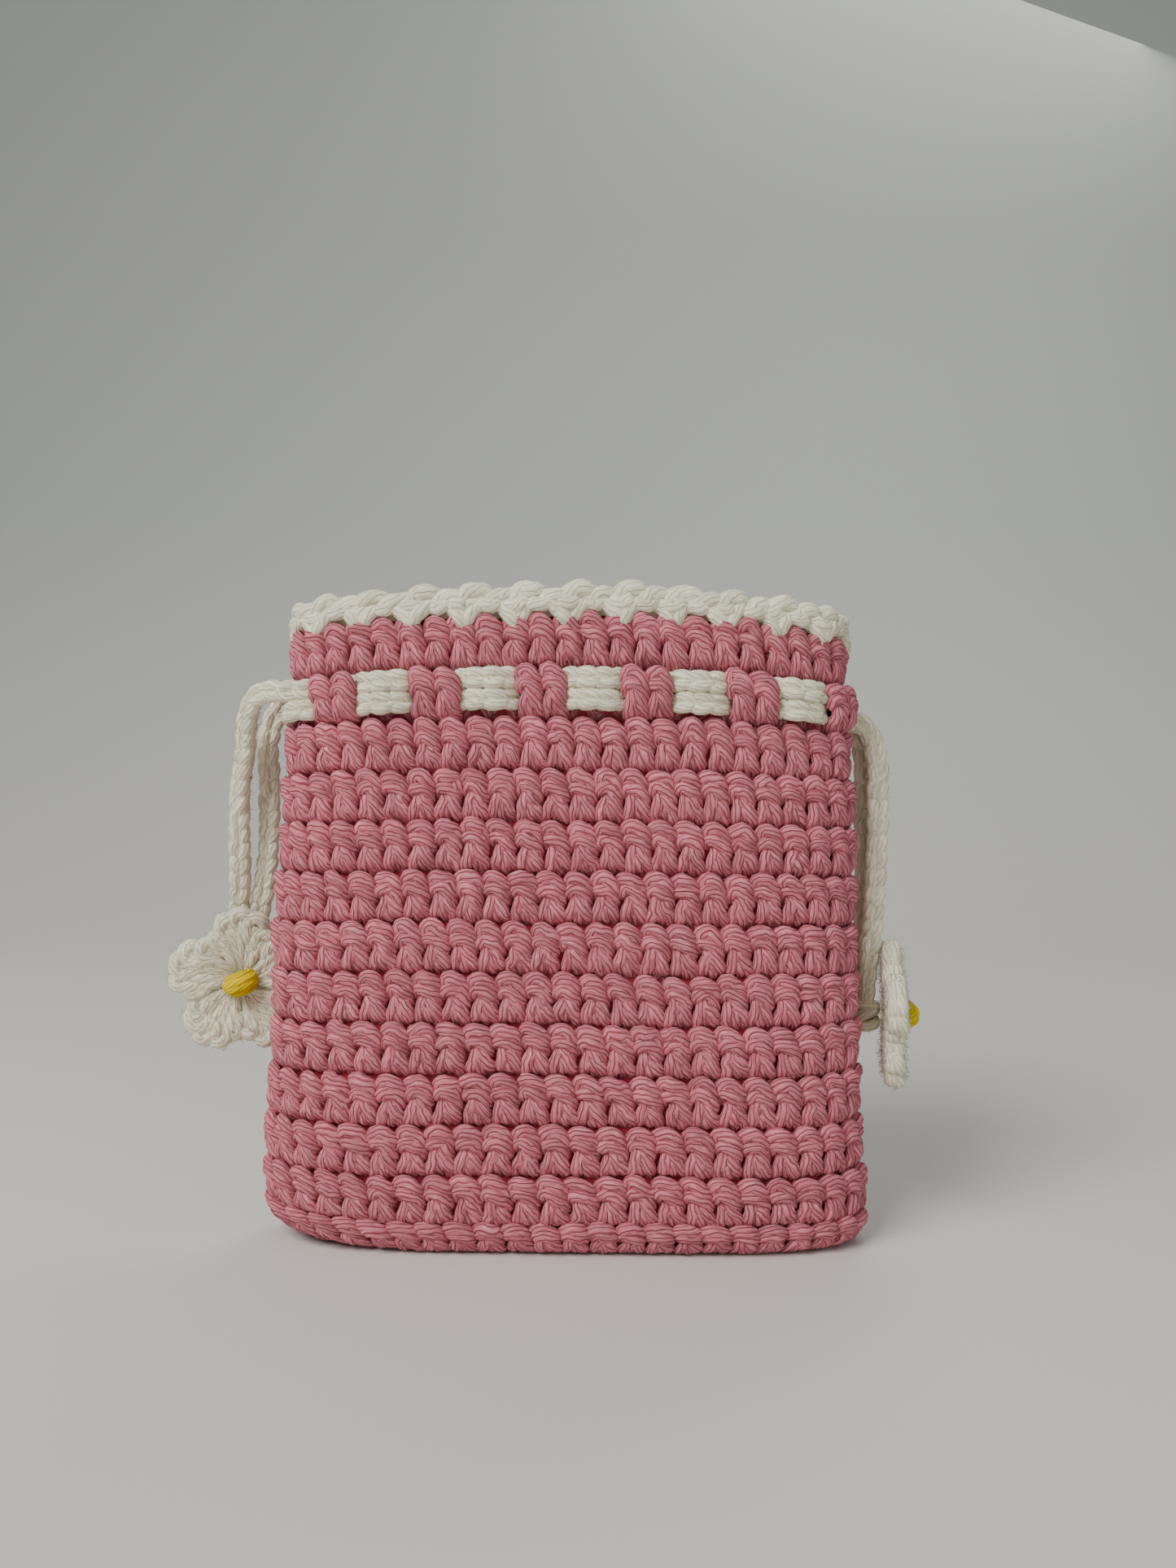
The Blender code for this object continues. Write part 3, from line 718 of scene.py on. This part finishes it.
def base_panel():
    """Rows of stitches across the bottom, and the same rows seen from inside."""
    knit = Knit("base_yarn", 60)
    low, high = (1000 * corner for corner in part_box("base"))
    reach, depth = high.x - 1.0, high.y - 0.4
    rows = 3
    for row in range(rows):
        y = (row + 0.5) / rows * 2 * depth - depth
        span = reach * (1 - abs(y / depth) ** 3 * 0.25)
        count = int(2 * span / STITCH_PITCH)
        start = -count * STITCH_PITCH / 2
        for template, radius in BASE_STRANDS:
            control = np.repeat(np.array(template, float)[None], count, axis=0)
            control += knit.rng.normal(0.0, 1.0, control.shape) * np.array([0.02, 0.015, 0.05])
            lines = np.einsum("sc,bcd->bsd", spline_weights(control.shape[1], 11), control)
            lines[..., 0] = start + (lines[..., 0] + np.arange(count)[:, None]) * STITCH_PITCH
            lines[..., 1] = y + (lines[..., 1] - 0.5) * 2 * depth / rows
            lines[..., 2] = -lines[..., 2] + 0.45
            knit.sweep(lines, radius, on_floor, 8)
            lines = lines.copy()
            lines[..., 2] = 4.0 - lines[..., 2]
            knit.sweep(lines, radius, on_floor, 8)
    # Painted shade: a darker sheet between the outside rows and the inside rows, seen between the stitches.
    across = np.linspace(-1, 1, 24)
    sheet = []
    for t in np.linspace(-1, 1, 8):
        x = across * (reach + 1.5) * (1 - 0.12 * abs(t) ** 3)
        sheet.append(np.stack([x, np.full(24, t * (depth + 1.2)), np.full(24, 2.0)], axis=-1))
    knit.grid(np.stack(sheet), 1)
    return knit.make([pink_yarn, pink_core_shade])


# ---------------------------------------------------------------- cords

def distances(line):
    """How far along its line each point is."""
    return np.concatenate([[0.0], np.cumsum(np.linalg.norm(np.diff(line, axis=0), axis=1))])


def smooth_line(points, step):
    """A smooth line through the points, in equal steps of about the length given."""
    points = np.asarray(points, float)
    fine = spline_weights(len(points), 24 * (len(points) - 1) + 1) @ points
    travelled = distances(fine)
    places = np.linspace(0.0, travelled[-1], max(2, round(travelled[-1] / step) + 1))
    return np.stack([np.interp(places, travelled, fine[:, k]) for k in range(3)], axis=-1)


def along_line(line, first):
    """A mapping that carries (along, side, out) to a smooth line in the row frame."""
    line = np.asarray(line, float)
    travelled = distances(line)
    frames = frames_along(line[None], np.asarray(first, float)[None])
    tangents, normals, sides = (a[0] for a in frames)

    def mapping(points):
        s = points[..., 0]
        centre, side, normal, tangent = (
            np.stack([np.interp(s, travelled, a[:, k]) for k in range(3)], axis=-1)
            for a in (line, sides, normals, tangents)
        )
        over = (s - np.clip(s, 0.0, travelled[-1]))[..., None]
        return centre + side * points[..., 1:2] + normal * points[..., 2:3] + tangent * over

    return mapping, travelled[-1]


# One link of a chain-stitch cord, as (share of a link, side in mm, out in mm)
CHAIN_ARM = [(-0.30, 0.30, -0.75), (0.02, 0.62, 0.05), (0.42, 1.00, 0.42), (0.82, 0.86, 0.50),
             (1.20, 0.36, 0.20), (1.48, 0.14, -0.6)]
CHAIN_BACK = [(-0.10, -0.55, -0.65), (0.30, 0.10, -1.00), (0.70, 0.15, -1.00), (1.10, -0.50, -0.65)]

CHAIN_LINK = 3.1

# Each strand's template, mirroring, unevenness, samples along, radius and samples round
CHAIN_STRANDS = [(CHAIN_ARM, 1.0, (0.03, 0.06, 0.06), 9, 1.08, 9),
                 (CHAIN_ARM, -1.0, (0.03, 0.06, 0.06), 9, 1.08, 9),
                 (CHAIN_BACK, 1.0, (0.03, 0.06, 0.05), 7, 0.90, 8)]


def chain_cord(name, seed, line, first, drawn_in=0.0):
    """A chain-stitch cord; drawn_in is how much thinner it is pulled towards its end."""
    knit = Knit(name, seed)
    plain_mapping, length = along_line(line, first)

    def mapping(points):
        points = points.copy()
        near_end = np.clip((points[..., 0:1] - length + 14.0) / 10.0, 0.0, 1.0)
        points[..., 1:] *= 1.0 - drawn_in * near_end
        return plain_mapping(points)

    links = max(2, round(length / CHAIN_LINK))
    link = length / links
    for template, mirror, loose, samples, radius, around in CHAIN_STRANDS:
        control = np.repeat(np.array(template, float)[None], links, axis=0)
        control[..., 1] *= mirror
        control += knit.rng.normal(0.0, 1.0, control.shape) * np.array(loose)
        lines = np.einsum("sc,bcd->bsd", spline_weights(control.shape[1], samples), control)
        lines[..., 0] = (lines[..., 0] + np.arange(links)[:, None]) * link
        knit.sweep(lines, radius, mapping, around, keep_skin=True)
    # Painted shade: a darker tube along the middle of the cord, seen between its links.
    shaded_core = np.linspace([0.0, 0.0, 0.0], [length, 0.0, 0.0], max(4, links * 2))[None]
    knit.sweep(shaded_core, 1.2, mapping, 8, slot=1)
    knit.fuzz(int(length * 9), 1.3, 0.040)
    return knit.make([white_yarn, white_core_shade])


def loop_line(first, last, level):
    """The stretch of a cord between two places in the weave."""
    places = np.linspace(first, last, int((last - first) * 16))
    return weave_point(places, level)


def tail_lines(side, level, leaving, top, bottom):
    """A tail's control points: out of its window and over, and then down."""
    bend = [weave_point(np.array([place]), level)[0] for place in leaving]
    bend += [side_point(side, level, point) for point in top]
    drop = [side_point(side, level, point) for point in bottom]
    return np.array(bend), np.array(drop)


# ---------------------------------------------------------------- flowers and knots

def ahead_of(facing):
    """The direction that a flower faces, from the angle between it and the front."""
    return np.array([math.sin(facing), -math.cos(facing), 0.0])


def flower_map(centre, facing):
    """Carries (right, up, forward) of a flower that faces the given way to the row frame."""
    forward = ahead_of(facing)
    right = np.array([math.cos(facing), math.sin(facing), 0.0])

    def mapping(points):
        up = points[..., 1:2] * np.array([0.0, 0.0, 1.0])
        return centre + right * points[..., 0:1] + up + forward * points[..., 2:3]

    return mapping


PETALS = 5
PETAL_REACH = 11.0
BACK_FACE = -0.35
PETAL_POSTS = [-0.42, -0.21, 0.0, 0.21, 0.42]

# Along a petal's post, (share of its reach, out), and round the hook at its end,
# (share of its reach, radians aside, out)
POST = [(0.12, 0.0), (0.32, 0.30), (0.58, 0.62), (0.84, 0.70), (1.0, 0.2)]
HOOK = [(0.98, -0.11, 0.0), (1.10, -0.05, 0.55), (1.12, 0.05, 0.75), (1.0, 0.12, 0.75),
        (0.84, 0.11, 0.8), (0.72, 0.03, 0.4)]


def petals(name, seed, centre, facing):
    """Five petals of posts, each with a hook of yarn round its end, on both faces."""
    knit = Knit(name, seed)
    mapping = flower_map(centre, facing)
    angle = 2 * math.pi / PETALS

    def petal_point(a, r, curl, face, out):
        lift = curl * (r / 12.0) ** 2 + face * (out + knit.rng.normal(0, 0.10))
        return r * math.cos(a), r * math.sin(a), lift

    for petal in range(PETALS):
        middle = math.pi / 2 + petal * angle
        curl = knit.rng.uniform(-0.3, 0.9)
        for face in (1.0, BACK_FACE):
            posts, hooks = [], []
            for spread in PETAL_POSTS:
                reach = PETAL_REACH * (1.0 - 1.25 * spread * spread)
                a0 = middle + spread * angle * 0.6
                a1 = middle + spread * angle * 0.86
                line = []
                for t, out in POST:
                    a = a0 + (a1 - a0) * t + knit.rng.normal(0, 0.02)
                    r = reach * t + knit.rng.normal(0, 0.15)
                    line.append(petal_point(a, r, curl, face, out))
                posts.append(line)
                line = []
                for t, turn, out in HOOK:
                    a = a1 + turn * 1.25 + knit.rng.normal(0, 0.015)
                    r = reach * t + knit.rng.normal(0, 0.15)
                    line.append(petal_point(a, r, curl, face, out))
                hooks.append(line)
            lines = np.einsum("sc,bcd->bsd", spline_weights(5, 11), np.array(posts))
            knit.sweep(lines, np.linspace(0.8, 1.5, 11)[None], mapping, 9, keep_skin=True)
            lines = np.einsum("sc,bcd->bsd", spline_weights(6, 13), np.array(hooks))
            knit.sweep(lines, 1.35, mapping, 9, keep_skin=True)
    turns = np.linspace(0, 2 * math.pi, 61)[:-1]
    lobe = np.abs(np.cos(PETALS * (turns - math.pi / 2) / 2)) ** 0.7
    edge = 11.4 * (1 - 0.36 * (1 - lobe))
    for face in (0.75, -0.75):
        disc = []
        for share, up in ((0.02, 0.5), (0.3, 0.8), (0.6, 1.0), (0.85, 1.0), (0.97, 0.0)):
            x, y = edge * share * np.cos(turns), edge * share * np.sin(turns)
            disc.append(np.stack([x, y, np.full(60, face * up)], axis=-1))
        knit.grid(mapping(np.stack(disc)), 0, closed=True)
    knit.fuzz(4200, 1.6, 0.046)
    return knit.make([white_yarn, white_core_shade])


def bobble(name, seed, centre, facing):
    """A flower's centre: four strands of yarn side by side."""
    knit = Knit(name, seed)
    mapping = flower_map(centre, facing)
    tilt = math.radians(20)
    along = np.array([math.cos(tilt), math.sin(tilt), 0.0])
    across = np.array([-math.sin(tilt), math.cos(tilt), 0.0])
    for place, reach, out in ((-1.45, 1.9, 0.05), (-0.5, 2.5, 0.75), (0.48, 2.55, 0.8), (1.4, 2.0, 0.1)):
        line = []
        for t in (-1.0, -0.8, -0.35, 0.35, 0.8, 1.0):
            swell = out + 0.9 * (1 - t * t) - 1.3 * abs(t) ** 6
            line.append(along * t * reach + across * place * (1 - 0.2 * t * t) + np.array([0, 0, swell]))
        lines = spline_weights(6, 16) @ np.array(line)
        knit.sweep(lines[None], 0.84, mapping, 10)
    return knit.make([yellow_yarn])


def knot(name, seed, centre):
    """Three turns of yarn round the ends of a pair of tails."""
    knit = Knit(name, seed)
    for tilt, turn, radius, lift in ((0.35, 0.0, 1.75, -1.5), (-0.4, 1.2, 1.9, 0.0), (0.3, 2.3, 1.75, 1.5)):
        turns = np.linspace(0, 2 * math.pi, 25)
        ring = np.stack([np.cos(turns), np.sin(turns), np.zeros(25)], axis=-1) * radius
        spin = np.array(Matrix.Rotation(turn, 3, "Z") @ Matrix.Rotation(tilt, 3, "X"))
        ring = ring @ spin.T + centre + np.array([0, 0, lift])
        knit.sweep(ring[None], 1.15, None, 10, keep_skin=True)
    knit.fuzz(150, 1.3, 0.040)
    return knit.make([white_yarn])


# ---------------------------------------------------------------- assembly

WHITE = "white_yarn"
PINK = "pink_yarn"
YELLOW = "yellow_yarn"
BEND_LENGTH = 30.4
JOINTS = {joint["name"]: joint for joint in frame["joints"]}


def give(obj, body, slot, *nodes):
    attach(obj, body)
    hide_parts(*nodes)
    return obj


def shut(obj, keep):
    """Gives the piece its own copy of its mesh when keep is below 1."""
    if keep < 1.0:
        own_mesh(obj)


def joint_place(name):
    return np.array(JOINTS[name]["pos_m"]) * 1000


def declare_cord(line):
    line = np.asarray(line)


for number in range(PLAIN_ROUNDS + 1):
    low = 0.0 if number == 0 else FOOT_HEIGHT + (number - 1) * ROUND_HEIGHT
    if number == 0:
        made = plain_round("foot_round_yarn", number, low, FOOT_HEIGHT, lowest=0.75)
    else:
        made = plain_round(f"round_{number:02d}_yarn", number, low, ROUND_HEIGHT)
    give(made, "bag", PINK, "body_wall")
    shut(made, KEEP_BY_ROUND.get(number, 1.0))

made = give(cord_round(), "bag", PINK, "cord_round")
shut(made, CORD_ROUND_KEEP)
made = plain_round("top_round_yarn", 12, TOP_ROUND_LOW, ROUND_HEIGHT)
give(made, "bag", PINK, "top_round")
shut(made, TOP_ROUND_KEEP)
made = give(edging(), "bag", WHITE, "edging")
shut(made, EDGING_KEEP)
give(base_panel(), "bag", PINK, "base")

SIDES = {
    "left": (-1, CORD_LEVEL + LEVEL_STEP, LEFT_FRONT_EXIT, LEFT_BACK_EXIT,
             (LEFT_FRONT_TOP, LEFT_FRONT_BOTTOM), (LEFT_BACK_TOP, LEFT_BACK_BOTTOM), LEFT_FACING),
    "right": (1, CORD_LEVEL - LEVEL_STEP, RIGHT_FRONT_EXIT, RIGHT_BACK_EXIT,
              (RIGHT_FRONT_TOP, RIGHT_FRONT_BOTTOM), (RIGHT_BACK_TOP, RIGHT_BACK_BOTTOM), RIGHT_FACING),
}
for order, (side_name, facts) in enumerate(SIDES.items()):
    side, level, front_exit, back_exit, front, back, facing_degrees = facts
    seed = 100 + 20 * order
    ends = sorted((front_exit[0], back_exit[0]))
    line = smooth_line(loop_line(ends[0], ends[1], level), 1.2)
    inside = on_wall(ends[0] / WINDOWS, np.array(CORD_LEVEL), -6.0)
    outward = line[0] - inside * np.array([1, 1, 0]) - [0, 0, line[0][2]]
    loop = chain_cord(f"{side_name}_loop_yarn", seed, line, outward)
    give(loop, "bag", WHITE, f"{side_name}_cord_loop")
    declare_cord(line)
    shut(loop, CORD_ROUND_KEEP)

    knot_centre = joint_place(f"{side_name}_twist")
    facing = math.radians(facing_degrees)
    forward = ahead_of(facing)
    knot_obj = knot(f"{side_name}_knot_yarn", seed + 1, knot_centre)
    give(knot_obj, f"{side_name}_end", WHITE, f"{side_name}_knot")
    flower_centre = knot_centre + PETALS_FORWARD * forward
    flower = petals(f"{side_name}_petals_yarn", seed + 2, flower_centre, facing)
    give(flower, f"{side_name}_flower", WHITE, f"{side_name}_flower_petals")
    eye_centre = knot_centre + CENTRE_FORWARD * forward
    eye = bobble(f"{side_name}_centre_yarn", seed + 3, eye_centre, facing)
    give(eye, f"{side_name}_flower", YELLOW, f"{side_name}_flower_centre")

    for step, (where, leaving, (top, bottom)) in enumerate(
            (("front", front_exit, front), ("back", back_exit, back))):
        bend_points, drop_points = tail_lines(side, level, leaving, top, bottom)
        joined = np.concatenate([bend_points, drop_points[1:], [knot_centre]])
        whole = smooth_line(joined, 0.8)
        travelled = distances(whole)
        cut = int(np.searchsorted(travelled, max(BEND_LENGTH, travelled[-1] / 2)))
        bend_line, drop_line = whole[:cut + 1], whole[cut:]
        out = (0.0, -1.0, 0.0)
        tail_name = f"{side_name}_{where}"
        bend = chain_cord(f"{tail_name}_bend_yarn", seed + 5 + 2 * step, bend_line, out)
        drop = chain_cord(f"{tail_name}_drop_yarn", seed + 6 + 2 * step, drop_line, out,
                          drawn_in=DRAWN_IN)
        for piece, node in ((bend, "bend"), (drop, "drop")):
            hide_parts(f"{tail_name}_tail_{node}")
        declare_cord(bend_line)
        declare_cord(drop_line)
        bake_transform(bend)
        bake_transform(drop)


# ---------------------------------------------------------------- floor, light, camera

SWEEP_START = 350.0
SWEEP_RADIUS = 650.0


def backdrop():
    """A pale sweep: floor in front, wall behind, with painted shade making the wall darker and a little
    greener.
    """
    profile = [(-1600.0, 0.0), (SWEEP_START, 0.0)]
    for k in range(1, 25):
        a = k / 24 * math.pi / 2
        profile.append((SWEEP_START + SWEEP_RADIUS * math.sin(a), SWEEP_RADIUS * (1 - math.cos(a))))
    profile.append((SWEEP_START + SWEEP_RADIUS, 2600.0))
    grid = np.array([[(x, y, z) for x in np.linspace(-2400, 2400, 3)] for y, z in profile]) * 0.001
    mesh = bpy.data.meshes.new("backdrop")
    index = np.arange(len(profile) * 3).reshape(-1, 3)
    faces = [(int(index[r, c]), int(index[r, c + 1]), int(index[r + 1, c + 1]), int(index[r + 1, c]))
             for r in range(len(profile) - 1) for c in range(2)]
    mesh.from_pydata(grid.reshape(-1, 3).tolist(), [], faces)
    mesh.shade_smooth()
    n = Nodes("backdrop")
    place = n.new("ShaderNodeTexCoord").outputs["Object"]
    fine = n.noise(place, 900.0, 3.0, 0.6)
    broad = n.noise(place, 3.0, 2.0, 0.5)
    split = n.new("ShaderNodeSeparateXYZ")
    n.link(place, split.inputs[0])
    # Painted shade: above the floor the colour turns to a darker, slightly greener grey for the wall.
    up = n.math("MULTIPLY", split.outputs[2], 3.0, clamp=True)
    pale = n.mix(broad, (0.64, 0.62, 0.58, 1.0), (0.67, 0.645, 0.605, 1.0))
    floor_and_shaded_wall = n.mix(up, pale, (0.56, 0.58, 0.535, 1.0))
    colour = n.mix(n.math("MULTIPLY", fine, 0.06), floor_and_shaded_wall, (0.55, 0.55, 0.54, 1.0))
    n.link(colour, n.shader.inputs["Base Color"])
    n.shader.inputs["Roughness"].default_value = 0.7
    n.shader.inputs["Specular IOR Level"].default_value = 0.2
    relief = n.new("ShaderNodeBump")
    relief.inputs["Strength"].default_value = 0.05
    relief.inputs["Distance"].default_value = 0.0002
    n.link(fine, relief.inputs["Height"])
    n.link(relief.outputs[0], n.shader.inputs["Normal"])
    mesh.materials.append(n.material)
    obj = bpy.data.objects.new("backdrop", mesh)
    bpy.context.scene.collection.objects.link(obj)
    obj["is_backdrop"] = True


def area_light(name, place, target, size, power, colour):
    light = bpy.data.lights.new(name, "AREA")
    light.shape = "SQUARE"
    light.size = size
    light.energy = power
    light.color = colour
    obj = bpy.data.objects.new(name, light)
    obj.location = place
    obj.rotation_mode = "QUATERNION"
    obj.rotation_quaternion = (Vector(target) - Vector(place)).to_track_quat("-Z", "Y")
    bpy.context.scene.collection.objects.link(obj)


backdrop()
area_light("key", (-0.42, -0.48, 0.62), (0.0, 0.0, 0.06), 0.42, 7.6, (1.0, 0.985, 0.955))
area_light("fill", (0.55, -0.55, 0.30), (0.0, 0.0, 0.05), 0.60, 0.9, (0.95, 0.98, 1.0))
area_light("behind", (0.35, 0.85, 1.05), (0.0, 0.0, 0.05), 0.60, 5.0, (0.97, 0.98, 1.0))
world = bpy.data.worlds.new("studio")
world.use_nodes = True
world.node_tree.nodes["Background"].inputs["Color"].default_value = (0.80, 0.84, 0.84, 1.0)
world.node_tree.nodes["Background"].inputs["Strength"].default_value = 0.35
bpy.context.scene.world = world

CAMERA_PLACE = (0.0036, -0.2094, 0.0801)
CAMERA_ROLL_DEGREES = 0.6

camera_data = bpy.data.cameras.new("camera")
camera_data.lens = 27.0
camera_data.sensor_width = 36.0
camera_data.clip_start = 0.01
camera = bpy.data.objects.new("camera", camera_data)
level_view = Matrix.Rotation(math.radians(90.0), 4, "X")
roll = Matrix.Rotation(math.radians(CAMERA_ROLL_DEGREES), 4, "Z")
camera.matrix_world = Matrix.Translation(CAMERA_PLACE) @ level_view @ roll
bpy.context.scene.collection.objects.link(camera)
bpy.context.scene.camera = camera

low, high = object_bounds()
